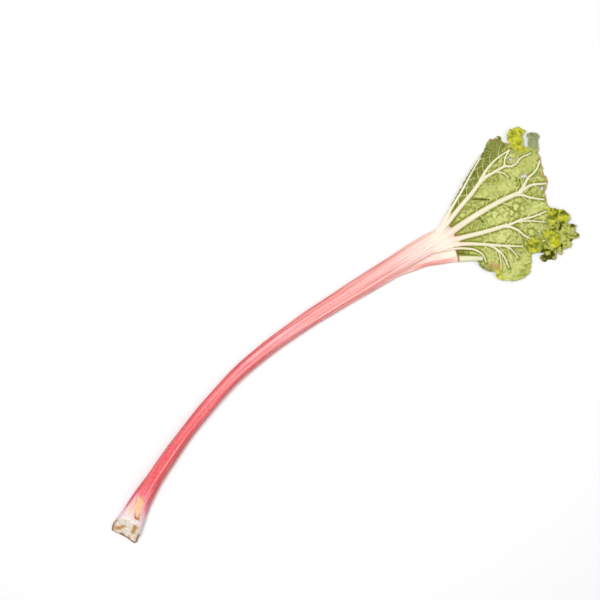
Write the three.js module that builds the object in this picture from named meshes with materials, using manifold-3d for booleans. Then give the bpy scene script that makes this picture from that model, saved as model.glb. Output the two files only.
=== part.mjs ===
// A cut rhubarb stalk lying on a table: its long red petiole, the fan of cream ribs that the
// petiole runs out into, the trimmed leaf blade under those ribs, and the dry scrap of sheath
// at its base. Millimetres, +Z up, +X from the cut base to the leaf. Every route is drawn from
// the lowest corner of the whole stalk's box, and the finished group is centred at the end.
import * as THREE from 'three';
import { mergeVertices } from 'three/addons/utils/BufferGeometryUtils.js';
import Module from 'manifold-3d';

const wasm = await Module();
wasm.setup();

// Petiole
const petioleRoute = [
  [1, 15.5], [38, 34.5], [68, 47], [115, 62.5], [163, 72.5],
  [213, 74.5], [263, 72.5], [308, 69.5], [338, 67.5], [359, 64],
];
const petioleStations = [ // part of the length, half width, half height, turn of the groove in degrees
  [0, 13, 7.1, 0],
  [0.05, 10.4, 7.2, -6],
  [0.1, 7.9, 7, -17],
  [0.15, 6, 6.6, -30],
  [0.25, 5.3, 6.5, -38],
  [0.4, 5.2, 6.5, -38],
  [0.55, 5.6, 6.3, -32],
  [0.68, 6.6, 6.0, -22],
  [0.8, 8.1, 5.6, -10],
  [0.92, 8.9, 5.0, 0],
  [0.965, 9.4, 4.3, 0],
  [1, 9, 2.6, 0],
];
const petioleSteps = 72;
const petioleSides = 28;
const grooveDepth = 0.2; // of the section's radius
const grooveSpread = 26; // degrees
const lipHeight = 0.07; // of the radius, beside the groove
const lipAngle = 46; // degrees from the groove
const lipSpread = 18; // degrees
const baseSquareness = 0.6; // power on the section's sine and cosine at the base, 1 is an ellipse
const baseSquareEnd = 0.1; // part of the length by which the section is an ellipse
const restDepth = 0.35; // how far the underside is flattened where it lies

// Oblique cut across the base: it leans back over the stalk
const cutPoint = [3.6, 17.2, 0];
const cutHeading = 25; // degrees, the stalk's direction there
const cutLean = 51; // degrees from upright
const wasteSize = 80; // side of the block that the cut takes away
const tableSize = [600, 300, 20]; // block under the stalk that flattens its underside
const tableMiddle = [200, 60];

// Flank: the petiole's own lower edge, which parts from it before the leaf
const flankRoute = [[303, 65.5, 3.6], [318, 61.5, 3.8], [333, 57, 3.9], [351, 51.5, 3.9]];
const flankWidth = [2.2, 6.6]; // half widths at its two ends
const flankHeight = [1.6, 2.2]; // half heights at its two ends
const flankSteps = 10;
const flankSides = 10;

// Ribs: route, then half width at root and tip
const ribs = [
  [[[346, 50], [356, 42.5], [365, 35]], 2.3, 1.6], // basal rib below the flank
  [[[350, 71.5], [368, 80.5], [384, 88], [399, 95.5], [412, 101.5]], 1.7, 0.7],
  [[[350, 69], [366, 74], [381, 79.5], [400, 85.5]], 2.5, 1.7],
  [[[398, 85], [410, 90], [421, 93], [434, 93]], 1.3, 0.7],
  [[[398, 85], [411, 85.5], [425, 84.5]], 1.5, 1.0],
  [[[424, 85], [431, 81], [438, 82.5], [447, 81]], 0.9, 0.6],
  [[[348, 65.5], [366, 66], [384, 65.5], [405, 63.5], [423, 60]], 3.1, 1.9],
  [[[421, 60], [432, 65.5], [442, 67.5], [449, 72]], 1.3, 0.7],
  [[[421, 60.5], [431, 60], [443, 54]], 1.5, 0.8],
  [[[419, 61], [425, 53], [434, 45]], 1.1, 0.6],
  [[[348, 61.5], [362, 57.5], [378, 51.5], [399, 44.5]], 2.5, 1.7],
  [[[397, 45], [408, 42.5], [419, 38.5], [430, 36]], 1.2, 0.7],
  [[[397, 45], [402, 38], [405, 29], [416, 17.5]], 1.1, 0.6],
  [[[348, 58.5], [359, 53.5], [372, 44.5], [386, 33], [398, 24]], 2.1, 0.9],
  [[[372, 44], [379, 36.5], [381.5, 27], [379.5, 16]], 1.0, 0.6],
  [[[350, 57.5], [360, 49.5], [366, 43.5], [368.5, 36], [367.5, 30]], 1.2, 0.6],
];
const ribSides = 6;
const ribStep = 5; // length of one facet along a rib
const ribRise = 0.85; // rib height over rib width
const ribRootHeight = 6.4; // height of the ribs' middles where they leave the petiole
const ribRootEnd = 372; // by here each rib lies on the blade
const ribLift = 0.55; // daylight between a rib's underside and the blade
const ribSeat = 0.4; // of a rib's half width, how far its middle stands over that underside

// Leaf blade
const bladeThickness = 0.9;
const bladeCell = 3.4; // grid size of the sheet
const neck = [350, 64]; // the point that the ribs and pleats spread from
const pleatAngle = 18; // degrees from one rib to the next
const pleatOffset = -3; // degrees, the middle rib's heading
const pleatRise = 1.1;
const pleatReach = [8, 45]; // distance from the neck where the pleats open
const pleatLost = 0.6; // share of the pleats that the curled edge smooths out
const frillReach = [72, 96]; // distance from the neck where the edge starts to curl, and is curled
const frillRise = 1.9;
const frillLift = 0.75; // of that rise, everywhere
const frillWaves = [0.31, 0.28]; // radians in a millimetre of X and of Y
const frillStarts = [1.3, 0.4]; // radians
const bladeSlope = [3.2, 1.7]; // mean height by the neck and far out
const slopeReach = [10, 80]; // distance from the neck over which it falls
const sheetMargin = 8; // how far the sheet runs past the outline before it is trimmed
const cutterDepth = 40; // of the outline and the hole punches, well over the leaf's height
const holeSides = 8;
const outline = [
  [361, 77], [384, 90.5], [400, 97.5], [418, 105], [425, 108], [432, 103], [436, 96.5],
  [438, 103], [443, 107], [450, 103.5], [453, 98], [447, 93.5], [445.5, 88], [449, 88],
  [452, 94], [455, 95], [461, 88.5], [456, 84], [450.5, 75],
  [446, 64], [444, 55], [439, 51], [435, 44], [433, 36],
  [442, 26.5], [439, 18], [443, 14], [439, 5], [429, 0.5], [421, 0.5], [420, 6.5],
  [412, 0.5], [407, 5], [410, 11], [401, 14],
  [395, 7], [389, 3], [378, 5.5], [368, 13], [369, 20], [364, 24.5], [362, 33], [361, 50],
];
const holes = [[430.5, 86.5, 1.6], [431.5, 70, 2.2], [438, 51.5, 1.4]]; // middle and radius

// Sheath scrap: it clings to the petiole's upper left side, and its free edges curl off
const sheathPlaces = [0.061, 0.109]; // parts of the petiole's length
const sheathEdges = [98, 66]; // its left edge at both ends, degrees round from the left side upwards
const sheathRight = 122; // its right edge, in the same degrees
const sheathThickness = 0.6;
const sheathClear = 0.5; // off the petiole's skin
const sheathCurl = 1.2; // how far the edges stand off
const sheathGrid = [10, 8];

const colours = {
  petiole: 0xf0616a,
  blade: 0xa9ba5c,
  sheath: 0xd9a36c,
};

const up = new THREE.Vector3(0, 0, 1);
const rad = THREE.MathUtils.degToRad;

function curveThrough(points) {
  return new THREE.CatmullRomCurve3(points.map(([x, y, z = 0]) => new THREE.Vector3(x, y, z)));
}

// Smooth run of values over stations: the first number of each is its place
function smoothStations(stations) {
  const size = stations[0].length - 1;
  const places = stations.map((row) => row[0]);
  const values = stations.flatMap((row) => row.slice(1));
  return new THREE.CubicInterpolant(places, values, size, new Float32Array(size));
}

const petioleCurve = curveThrough(petioleRoute);
const petioleShape = smoothStations(petioleStations);

function bump(angle, middle, spread) {
  const away = Math.abs(THREE.MathUtils.euclideanModulo(angle - middle + 180, 360) - 180);
  return Math.exp(-((away / spread) ** 2));
}

// The point that lies left and up of a place on a level route
function beside(curve, place, left, rise) {
  const across = new THREE.Vector3().crossVectors(up, curve.getTangentAt(place)).normalize();
  return curve.getPointAt(place).addScaledVector(across, left).addScaledVector(up, rise);
}

// A closed tube: pointAt(place, angle, reach) gives each vertex, with reach 0 at the ends' middles
function tube(steps, sides, pointAt) {
  const geometry = new THREE.CylinderGeometry(1, 1, 1, sides, steps);
  const position = geometry.attributes.position;
  for (let i = 0; i < position.count; i += 1) {
    const [x, y, z] = [position.getX(i), position.getY(i), position.getZ(i)];
    const place = THREE.MathUtils.clamp(y + 0.5, 0, 1);
    position.setXYZ(i, ...pointAt(place, Math.atan2(x, z), Math.hypot(x, z)).toArray());
  }
  return geometry;
}

function toSolid(geometry) {
  geometry.deleteAttribute('normal');
  geometry.deleteAttribute('uv');
  const merged = mergeVertices(geometry, 1e-5);
  return new wasm.Manifold(new wasm.Mesh({
    numProp: 3,
    vertProperties: Float32Array.from(merged.attributes.position.array),
    triVerts: Uint32Array.from(merged.index.array),
  }));
}

function toGeometry(solid) {
  const mesh = solid.getMesh();
  const geometry = new THREE.BufferGeometry();
  geometry.setAttribute('position', new THREE.BufferAttribute(mesh.vertProperties, 3));
  geometry.setIndex(new THREE.BufferAttribute(mesh.triVerts, 1));
  geometry.computeVertexNormals();
  return geometry;
}

// Height of the blade's upper side: pleats that spread from the neck, and a curled rim
function bladeHeight(x, y) {
  const away = Math.hypot(x - neck[0], y - neck[1]);
  const heading = THREE.MathUtils.radToDeg(Math.atan2(y - neck[1], x - neck[0]));
  const pleat = Math.cos((2 * Math.PI * (heading - pleatOffset)) / pleatAngle);
  const opened = THREE.MathUtils.smoothstep(away, ...pleatReach);
  const curled = THREE.MathUtils.smoothstep(away, ...frillReach);
  const slope = THREE.MathUtils.lerp(...bladeSlope, THREE.MathUtils.smoothstep(away, ...slopeReach));
  const ruffle = Math.sin(x * frillWaves[0] + frillStarts[0]) * Math.cos(y * frillWaves[1] + frillStarts[1]);
  const pleated = pleatRise * pleat * opened * (1 - pleatLost * curled);
  return slope + pleated + frillRise * curled * (frillLift + ruffle);
}

// Offsets of the petiole's skin, left and up of its middle line
function petioleSection(place, angle) {
  const [halfWidth, halfHeight, turn] = petioleShape.evaluate(place);
  const degrees = THREE.MathUtils.radToDeg(angle);
  const groove = -90 + turn;
  const lips = bump(degrees, groove - lipAngle, lipSpread) + bump(degrees, groove + lipAngle, lipSpread);
  const shape = 1 - grooveDepth * bump(degrees, groove, grooveSpread) + lipHeight * lips;
  const settled = THREE.MathUtils.smoothstep(place, 0, baseSquareEnd);
  const power = THREE.MathUtils.lerp(baseSquareness, 1, settled);
  const squared = (part) => Math.sign(part) * Math.abs(part) ** power;
  return [halfWidth * shape * squared(Math.cos(angle)), halfHeight * shape * squared(Math.sin(angle))];
}

// How far the section reaches below its middle
function petioleDepth(place) {
  let depth = 0;
  for (let degrees = -180; degrees < 0; degrees += 5) {
    depth = Math.max(depth, -petioleSection(place, rad(degrees))[1]);
  }
  return depth;
}

// A point on the petiole's skin, inside it or proud of it
function petiolePoint(place, angle, reach = 1, proud = 0) {
  const [left, rise] = petioleSection(place, angle);
  const height = petioleDepth(place) - restDepth + rise * reach + proud * Math.sin(angle);
  return beside(petioleCurve, place, left * reach + proud * Math.cos(angle), height);
}

function petiole() {
  return toSolid(tube(petioleSteps, petioleSides, petiolePoint));
}

function flank() {
  const curve = curveThrough(flankRoute);
  return toSolid(tube(flankSteps, flankSides, (place, angle, reach) => {
    const left = reach * THREE.MathUtils.lerp(...flankWidth, place) * Math.cos(angle);
    const rise = reach * THREE.MathUtils.lerp(...flankHeight, place) * Math.sin(angle);
    return beside(curve, place, left, rise);
  }));
}

// One rib: its underside follows the blade, and its root sinks into the petiole
function rib([route, rootHalf, tipHalf]) {
  const curve = curveThrough(route);
  const steps = Math.max(3, Math.round(curve.getLength() / ribStep));
  return toSolid(tube(steps, ribSides, (place, angle, reach) => {
    const half = reach * THREE.MathUtils.lerp(rootHalf, tipHalf, place);
    const rise = ribRise * half * Math.sin(angle);
    const point = beside(curve, place, half * Math.cos(angle), 0);
    const onBlade = bladeHeight(point.x, point.y) + ribLift;
    const settled = THREE.MathUtils.smoothstep(point.x, neck[0], ribRootEnd);
    const middle = THREE.MathUtils.lerp(ribRootHeight, onBlade + ribSeat * half, settled);
    point.z = Math.max(onBlade, middle + rise);
    return point;
  }));
}

function stalk() {
  let solid = petiole().add(flank());
  for (const row of ribs) solid = solid.add(rib(row));
  const table = new THREE.BoxGeometry(...tableSize);
  table.translate(...tableMiddle, -tableSize[2] / 2);
  const waste = new THREE.BoxGeometry(wasteSize, wasteSize, wasteSize);
  waste.translate(-wasteSize / 2, 0, 0);
  waste.rotateY(rad(cutLean));
  waste.rotateZ(rad(cutHeading));
  waste.translate(...cutPoint);
  return solid.subtract(toSolid(table)).subtract(toSolid(waste));
}

function leafBlade() {
  const xs = outline.map(([x]) => x);
  const ys = outline.map(([, y]) => y);
  const [lowX, highX, lowY, highY] = [Math.min(...xs), Math.max(...xs), Math.min(...ys), Math.max(...ys)];
  const [wide, deep] = [highX - lowX + sheetMargin, highY - lowY + sheetMargin];
  const sheet = new THREE.BoxGeometry(
    wide, deep, bladeThickness, Math.round(wide / bladeCell), Math.round(deep / bladeCell), 1,
  );
  sheet.translate((lowX + highX) / 2, (lowY + highY) / 2, -bladeThickness / 2);
  const position = sheet.attributes.position;
  for (let i = 0; i < position.count; i += 1) {
    const height = Math.max(bladeThickness, bladeHeight(position.getX(i), position.getY(i)));
    position.setZ(i, position.getZ(i) + height);
  }
  const shape = new THREE.Shape().setFromPoints(outline.map(([x, y]) => new THREE.Vector2(x, y)));
  const prism = new THREE.ExtrudeGeometry(shape, { depth: cutterDepth, bevelEnabled: false });
  prism.translate(0, 0, -cutterDepth / 2);
  let solid = toSolid(sheet).intersect(toSolid(prism));
  for (const [x, y, radius] of holes) {
    const punch = new THREE.CylinderGeometry(radius, radius, cutterDepth, holeSides);
    punch.rotateX(Math.PI / 2);
    punch.translate(x, y, 0);
    solid = solid.subtract(toSolid(punch));
  }
  return solid;
}

function baseSheath() {
  const geometry = new THREE.BoxGeometry(1, 1, 1, ...sheathGrid, 1);
  const position = geometry.attributes.position;
  for (let i = 0; i < position.count; i += 1) {
    const [along, round, deep] = [position.getX(i), position.getY(i), position.getZ(i)];
    const place = THREE.MathUtils.lerp(...sheathPlaces, along + 0.5);
    const left = THREE.MathUtils.lerp(...sheathEdges, along + 0.5);
    const angle = rad(THREE.MathUtils.lerp(left, sheathRight, 0.5 - round));
    const curl = sheathCurl * ((2 * along) ** 4 + (2 * round) ** 4) / 2;
    const proud = sheathClear + sheathThickness * (deep + 0.5) + curl;
    position.setXYZ(i, ...petiolePoint(place, angle, 1, proud).toArray());
  }
  return toSolid(geometry);
}

function piece(name, solid, colour, roughness) {
  const material = new THREE.MeshStandardMaterial({ color: colour, roughness, metalness: 0 });
  const mesh = new THREE.Mesh(toGeometry(solid), material);
  mesh.name = name;
  return mesh;
}

const group = new THREE.Group();
group.add(piece('stalk', stalk(), colours.petiole, 0.35));
group.add(piece('leaf_blade', leafBlade(), colours.blade, 0.6));
group.add(piece('base_sheath', baseSheath(), colours.sheath, 0.8));

// The origin is the middle of the underside of the whole stalk's box
const box = new THREE.Box3().setFromObject(group);
const middle = box.getCenter(new THREE.Vector3());
group.position.set(-middle.x, -middle.y, -box.min.z);
group.updateMatrixWorld(true);

export default group;
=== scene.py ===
import math

import bmesh
import bpy
import numpy as np
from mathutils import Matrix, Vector, geometry, kdtree, noise


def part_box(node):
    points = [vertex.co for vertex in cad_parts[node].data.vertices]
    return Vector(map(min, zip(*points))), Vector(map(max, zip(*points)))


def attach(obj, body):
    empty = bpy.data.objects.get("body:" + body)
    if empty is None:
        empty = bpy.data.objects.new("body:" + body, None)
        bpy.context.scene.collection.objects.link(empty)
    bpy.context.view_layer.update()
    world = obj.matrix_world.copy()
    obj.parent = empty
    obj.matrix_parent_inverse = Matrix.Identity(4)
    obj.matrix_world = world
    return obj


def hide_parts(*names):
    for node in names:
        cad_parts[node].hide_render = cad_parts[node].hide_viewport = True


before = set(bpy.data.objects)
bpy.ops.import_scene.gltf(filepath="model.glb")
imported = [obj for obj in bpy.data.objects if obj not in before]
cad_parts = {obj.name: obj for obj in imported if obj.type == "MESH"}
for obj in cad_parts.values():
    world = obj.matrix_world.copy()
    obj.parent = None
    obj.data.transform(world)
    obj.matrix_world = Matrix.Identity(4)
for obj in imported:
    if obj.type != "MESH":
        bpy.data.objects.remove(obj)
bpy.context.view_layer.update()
scene = bpy.context.scene
mm = 0.001
tableGap = 0.02  # mm between the table and the lowest points
# every route below is in millimetres from this corner, which the leaf's far corner fixes
leafCorner = (461.0, 108.0)
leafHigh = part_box("leaf_blade")[1]
corner = np.array([leafHigh.x - leafCorner[0] * mm, leafHigh.y - leafCorner[1] * mm, 0])
rng = np.random.default_rng(7)
print("frame loaded")

# camera
cameraLook = {
    "span": 0.480,           # metres of table across the picture
    "lens": 85.0,
    "turn": -35.0,           # degrees, so the base lies at the lower left
    "aim": (228.5, 90.7),    # mm from the corner
}


def makeCamera(look):
    camera = bpy.data.cameras.new("camera")
    camera.lens = look["lens"]
    holder = bpy.data.objects.new("camera", camera)
    scene.collection.objects.link(holder)
    distance = look["span"] * look["lens"] / camera.sensor_width
    holder.location = corner + np.array([look["aim"][0] * mm, look["aim"][1] * mm, distance])
    holder.rotation_euler = (0, 0, math.radians(look["turn"]))
    scene.camera = holder


makeCamera(cameraLook)
print("camera placed")


# routes and shapes
def smoothRoute(points, step):
    # an even run of points, step apart, on a smooth curve through the given ones
    given = np.array([tuple(p) + (0,) * (3 - len(p)) for p in points], float)
    given = np.vstack([2 * given[0] - given[1], given, 2 * given[-1] - given[-2]])
    fine = []
    for a, b, c, d in zip(given, given[1:], given[2:], given[3:]):
        first, second, third = (np.linalg.norm(q - p) ** 0.5 for p, q in ((a, b), (b, c), (c, d)))
        leave = ((b - a) / first - (c - a) / (first + second) + (c - b) / second) * second
        arrive = ((c - b) / second - (d - b) / (second + third) + (d - c) / third) * second
        t = np.linspace(0, 1, 24, endpoint=False)[:, None]
        fine.append((2 * t**3 - 3 * t**2 + 1) * b + (t**3 - 2 * t**2 + t) * leave
                    + (3 * t**2 - 2 * t**3) * c + (t**3 - t**2) * arrive)
    fine = np.vstack(fine + [given[-2:-1]])
    run = np.concatenate([[0], np.cumsum(np.linalg.norm(np.diff(fine, axis=0), axis=1))])
    even = np.linspace(0, run[-1], max(3, round(run[-1] / step) + 1))
    return np.column_stack([np.interp(even, run, fine[:, i]) for i in range(3)])


def headings(route):
    flat = np.gradient(route[:, :2], axis=0)
    return flat / np.linalg.norm(flat, axis=1)[:, None]


def smoothstep(low, high, value):
    t = np.clip((np.asarray(value, float) - low) / (high - low), 0, 1)
    return t * t * (3 - 2 * t)


def bell(value, middle, spread):
    return np.exp(-((value - middle) / spread) ** 2)


def turnBell(degrees, middle, spread):
    away = np.abs((degrees - middle + 180) % 360 - 180)
    return np.exp(-((away / spread) ** 2))


def roughness(points, scale, seed=0.0):
    # smooth random numbers from -1 to 1 over places in millimetres
    return np.array([noise.noise(Vector(p) * scale + Vector((seed, seed * 0.7, -seed))) for p in points])


def treeOf(samples):
    tree = kdtree.KDTree(len(samples))
    for i, p in enumerate(samples):
        tree.insert(p, i)
    tree.balance()
    return tree


def nearestOf(samples, points):
    tree = treeOf(samples)
    found = [tree.find(p)[1:] for p in points]
    return np.array([f[0] for f in found]), np.array([f[1] for f in found])


def nearestFlat(samples, points):
    flat = lambda p: np.column_stack([p[:, :2], np.zeros(len(p))])
    return nearestOf(flat(samples), flat(points))


# petiole
petiole = {
    "route": [(1, 15.5), (38, 34.5), (68, 47), (115, 62.5), (163, 72.5),
              (213, 74.5), (263, 72.5), (308, 69.5), (338, 67.5), (359, 64)],
    # part of the length, half width, half height, turn of the groove in degrees
    "stations": [(0, 13.1, 7.1, 0), (0.05, 10.5, 7.2, -6), (0.1, 8.0, 7.0, -17), (0.15, 6.0, 6.6, -30),
                 (0.25, 5.3, 6.5, -38), (0.4, 5.2, 6.5, -38), (0.55, 5.6, 6.3, -32), (0.68, 6.6, 6.0, -22),
                 (0.8, 8.1, 5.6, -10), (0.92, 8.8, 5.0, 0), (0.965, 9.3, 4.2, 0), (1, 8.2, 1.9, 0)],
    "grooveDepth": 0.2,    # of the radius
    "grooveSpread": 26.0,  # degrees
    "lipHeight": 0.07,
    "lipAngle": 46.0,
    "lipSpread": 18.0,
    "wingThin": 0.55,      # the base's left edge thins out into a wing, share of the height lost
    "wingAngle": 22.0,
    "wingSpread": 42.0,
    "wingEnd": 0.07,       # part of the length
    "squareness": 0.6,     # power on the section's sine and cosine at the base, 1 is an ellipse
    "squareEnd": 0.1,      # part of the length
    "restDepth": 0.3,
    "endLift": 1.6,        # how far the tip rises off the table into the leaf
    "step": 1.0,
    "sides": 56,
    "cutPoint": (3.6, 17.2, 0),
    "cutHeading": 25.0,
    "cutLean": 51.0,
}
petioleLine = smoothRoute(petiole["route"], petiole["step"])
petioleAhead = headings(petioleLine)
petiolePlaces = np.linspace(0, 1, len(petioleLine))
petioleLength = petiole["step"] * (len(petioleLine) - 1)


def stationTable(column):
    places, values = zip(*[(row[0], row[column]) for row in petiole["stations"]])
    table = np.interp(petiolePlaces, places, values)
    kernel = np.hanning(25)
    padded = np.pad(table, 12, mode="edge")
    return np.convolve(padded, kernel / kernel.sum(), mode="valid")


halfWidths, halfHeights, grooveTurns = (stationTable(i) for i in (1, 2, 3))


def petioleSection(index, degrees):
    # offsets of the skin, left and up of the middle line, at whole steps of the line
    groove = -90 + grooveTurns[index]
    lips = (turnBell(degrees, groove - petiole["lipAngle"], petiole["lipSpread"])
            + turnBell(degrees, groove + petiole["lipAngle"], petiole["lipSpread"]))
    shape = (1 - petiole["grooveDepth"] * turnBell(degrees, groove, petiole["grooveSpread"])
             + petiole["lipHeight"] * lips)
    wing = petiole["wingThin"] * turnBell(degrees, petiole["wingAngle"], petiole["wingSpread"])
    wing = 1 - wing * (1 - smoothstep(0, petiole["wingEnd"], petiolePlaces[index]))
    settled = smoothstep(0, petiole["squareEnd"], petiolePlaces[index])
    power = petiole["squareness"] + (1 - petiole["squareness"]) * settled
    across, up = np.cos(np.radians(degrees)), np.sin(np.radians(degrees))
    across, up = np.sign(across) * np.abs(across) ** power, np.sign(up) * np.abs(up) ** power
    return halfWidths[index] * shape * across, halfHeights[index] * shape * wing * up


def petioleDrops():
    index = np.arange(len(petioleLine))
    lows = [-petioleSection(index, np.full(len(index), d))[1] for d in range(-180, 0, 5)]
    lift = petiole["endLift"] * smoothstep(0.95, 1, petiolePlaces)
    return np.max(lows, axis=0) - petiole["restDepth"] + lift


petioleMiddles = petioleDrops()  # height of the middle line over the table


def petiolePoint(index, degrees, reach=1.0, proud=0.0):
    left, rise = petioleSection(index, degrees)
    angle = np.radians(degrees)
    left = left * reach + proud * np.cos(angle)
    rise = rise * reach + proud * np.sin(angle)
    ahead = petioleAhead[index]
    return np.stack([petioleLine[index, 0] - ahead[:, 1] * left,
                     petioleLine[index, 1] + ahead[:, 0] * left,
                     petioleMiddles[index] + rise], axis=1)


# leaf level and ribs
leaf = {
    "neck": (350.0, 64.0),
    "rootHeight": 5.9,     # middles of the ribs where they leave the petiole
    "settledBy": 378.0,    # by here the ribs lie in the blade
    "lowRoots": {"basal": 3.5, "sixth": 4.8},
    "sink": 0.3,           # of a rib's half width, how deep its middle lies under the blade
    "ribStep": 1.2,
    "crotches": [(355.2, 75.5), (358.4, 70.4), (358, 61.9), (358.4, 56.4), (357, 51.5)],
}
# route, then half width at root and tip
ribs = {
    "basal": ([(348.6, 46.6), (354, 43.2), (360, 39.2), (367, 34)], 2.7, 1.9),
    "upper": ([(340, 71), (356, 75), (368, 80.8), (384, 88), (399, 95.5), (412, 101.5)], 1.7, 0.7),
    "second": ([(336, 68), (347, 69.6), (357, 72.8), (366, 75.4), (378, 78.8), (390, 82), (400.5, 85.8)],
               2.6, 1.8),
    "secondHigh": ([(396, 84), (402, 87), (410, 90.5), (421, 93), (434, 93)], 1.6, 0.7),
    "secondLow": ([(396, 84), (405, 86), (413, 85.5), (425, 84.5)], 1.7, 1.2),
    "secondFork": ([(423, 84.6), (430, 80.8), (438, 82.5), (447, 81)], 1.0, 0.6),
    "secondTip": ([(423, 84.6), (428, 90), (434.5, 93)], 0.9, 0.6),
    "secondTwig": ([(415, 85), (419, 81), (421, 75)], 0.8, 0.4),
    "middle": ([(336, 67), (352, 65.8), (366, 66), (384, 65.5), (405, 63.5), (423, 60)], 3.3, 2.1),
    "middleHigh": ([(419, 60.6), (426, 62.5), (433, 66), (442, 67.5), (449, 72)], 1.5, 0.8),
    "middleOut": ([(419, 60.6), (425, 60.6), (432, 60), (443, 54)], 1.7, 0.9),
    "middleLow": ([(416, 61), (421, 58), (426, 52), (434, 44.5)], 1.3, 0.7),
    "fourth": ([(338, 62), (352, 61), (363, 57.3), (378, 51.5), (399, 44.5)], 2.6, 1.8),
    "fourthOut": ([(395, 45.6), (402, 43.6), (409, 42.2), (419, 38.5), (430, 36)], 1.4, 0.7),
    "fourthFork": ([(406, 42.6), (415, 37), (425, 29)], 0.9, 0.5),
    "fourthLow": ([(394, 45.8), (399, 42.5), (402.5, 37), (405, 29), (409, 23), (416, 17)], 1.3, 0.6),
    "fifth": ([(340, 60), (351, 57), (360, 53), (372, 44.5), (386, 33.2), (399, 23.5)], 2.2, 0.9),
    "fifthLow": ([(369, 46.8), (375, 42), (379.5, 35.5), (381.5, 27), (379.5, 16)], 1.2, 0.6),
    "fifthTwig": ([(379, 36.5), (380, 31), (377, 24), (373.5, 18.5)], 0.8, 0.4),
    "fifthFork": ([(385, 34), (388.5, 29.5), (390, 24), (390, 18)], 0.8, 0.5),
    "sixth": ([(345, 57), (353, 53.5), (360, 48.8), (366, 43), (368.5, 36), (367.2, 30)], 1.4, 0.6),
}


def leafLevel(x, y):
    # gentle swell of the leaf as it lies, before it sags between the ribs
    away = np.hypot(x - leaf["neck"][0], y - leaf["neck"][1])
    swell = 3.3 + 1.5 * bell(away, 48, 30) - 0.6 * smoothstep(80, 115, away)
    wave = 0.8 * np.sin(x * 0.085 + 0.6) * np.cos(y * 0.075 - 0.4)
    return swell + wave * smoothstep(20, 60, away)


def ribLine(name):
    route, rootHalf, tipHalf = ribs[name]
    line = smoothRoute(route, leaf["ribStep"])
    t = np.linspace(0, 1, len(line))
    half = rootHalf + (tipHalf - rootHalf) * t
    level = leafLevel(line[:, 0], line[:, 1]) - leaf["sink"] * half
    settled = smoothstep(leaf["neck"][0] - 4, leaf["settledBy"], line[:, 0])
    line[:, 2] = leaf["lowRoots"].get(name, leaf["rootHeight"]) * (1 - settled) + level * settled
    return line, half


ribLines = {name: ribLine(name) for name in ribs}
ribPoints = np.vstack([line for line, _ in ribLines.values()])
ribHalves = np.concatenate([half for _, half in ribLines.values()])
ribAhead = np.vstack([headings(line) for line, _ in ribLines.values()])
ribRun = np.concatenate([leaf["ribStep"] * np.arange(len(line)) for line, _ in ribLines.values()])


# mesh helpers
def meshObject(name, vertices, faces, material=None):
    mesh = bpy.data.meshes.new(name)
    mesh.from_pydata([tuple(v) for v in vertices], [], faces)
    mesh.validate()
    if material:
        mesh.materials.append(material)
    holder = bpy.data.objects.new(name, mesh)
    scene.collection.objects.link(holder)
    return holder


def discard(holder):
    mesh = holder.data
    bpy.data.objects.remove(holder)
    if mesh.users == 0:
        bpy.data.meshes.remove(mesh)


def evaluated(holder, name):
    # the finished shape of an object with modifiers, as a plain object
    bpy.context.view_layer.update()
    graph = bpy.context.evaluated_depsgraph_get()
    mesh = bpy.data.meshes.new_from_object(holder.evaluated_get(graph))
    discard(holder)
    mesh.name = name
    plain = bpy.data.objects.new(name, mesh)
    scene.collection.objects.link(plain)
    return plain


def joined(name, holders):
    built = bmesh.new()
    for holder in holders:
        built.from_mesh(holder.data)
    mesh = bpy.data.meshes.new(name)
    built.to_mesh(mesh)
    built.free()
    for holder in holders:
        discard(holder)
    whole = bpy.data.objects.new(name, mesh)
    scene.collection.objects.link(whole)
    return whole


def gridFaces(rows, columns, closed=False):
    faces = []
    for r in range(rows - 1):
        for c in range(columns if closed else columns - 1):
            d = (c + 1) % columns
            faces.append((r * columns + c, r * columns + d, (r + 1) * columns + d, (r + 1) * columns + c))
    return faces


def smoothShading(holder):
    holder.data.polygons.foreach_set("use_smooth", [True] * len(holder.data.polygons))
    holder.data.update()


def readVectors(parts, key):
    flat = np.zeros(len(parts) * 3, np.float32)
    parts.foreach_get(key, flat)
    return flat.reshape(-1, 3).astype(float)


def thickened(sheet, name, thickness, offset=0):
    solid = sheet.modifiers.new("solid", "SOLIDIFY")
    solid.thickness = thickness * mm
    solid.offset = offset
    holder = evaluated(sheet, name)
    smoothShading(holder)
    return holder


def coordinates(holder):
    return readVectors(holder.data.vertices, "co")


def setCoordinates(holder, points):
    holder.data.vertices.foreach_set("co", np.asarray(points, np.float32).ravel())
    holder.data.update()


def storeNumbers(holder, **masks):
    for name, values in masks.items():
        layer = holder.data.attributes.new(name, "FLOAT", "POINT")
        layer.data.foreach_set("value", np.asarray(values, np.float32))


def storeVector(holder, name, values):
    layer = holder.data.attributes.new(name, "FLOAT_VECTOR", "POINT")
    layer.data.foreach_set("vector", np.asarray(values, np.float32).ravel())


def relaxed(holder, points, weights, rounds):
    # evens out the points of a mesh, each by its own weight
    edges = np.zeros(len(holder.data.edges) * 2, np.int32)
    holder.data.edges.foreach_get("vertices", edges)
    a, b = edges.reshape(-1, 2).T
    count = len(points)
    degree = np.bincount(a, minlength=count) + np.bincount(b, minlength=count)
    for _ in range(rounds):
        total = np.stack([np.bincount(a, points[b, i], count) + np.bincount(b, points[a, i], count)
                          for i in range(3)], axis=1)
        points = points + weights[:, None] * (total / degree[:, None] - points)
    return points


# materials
def rgb(red, green, blue):
    return tuple((c / 255 / 12.92) if c <= 10 else ((c / 255 + 0.055) / 1.055) ** 2.4
                 for c in (red, green, blue)) + (1.0,)


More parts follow.
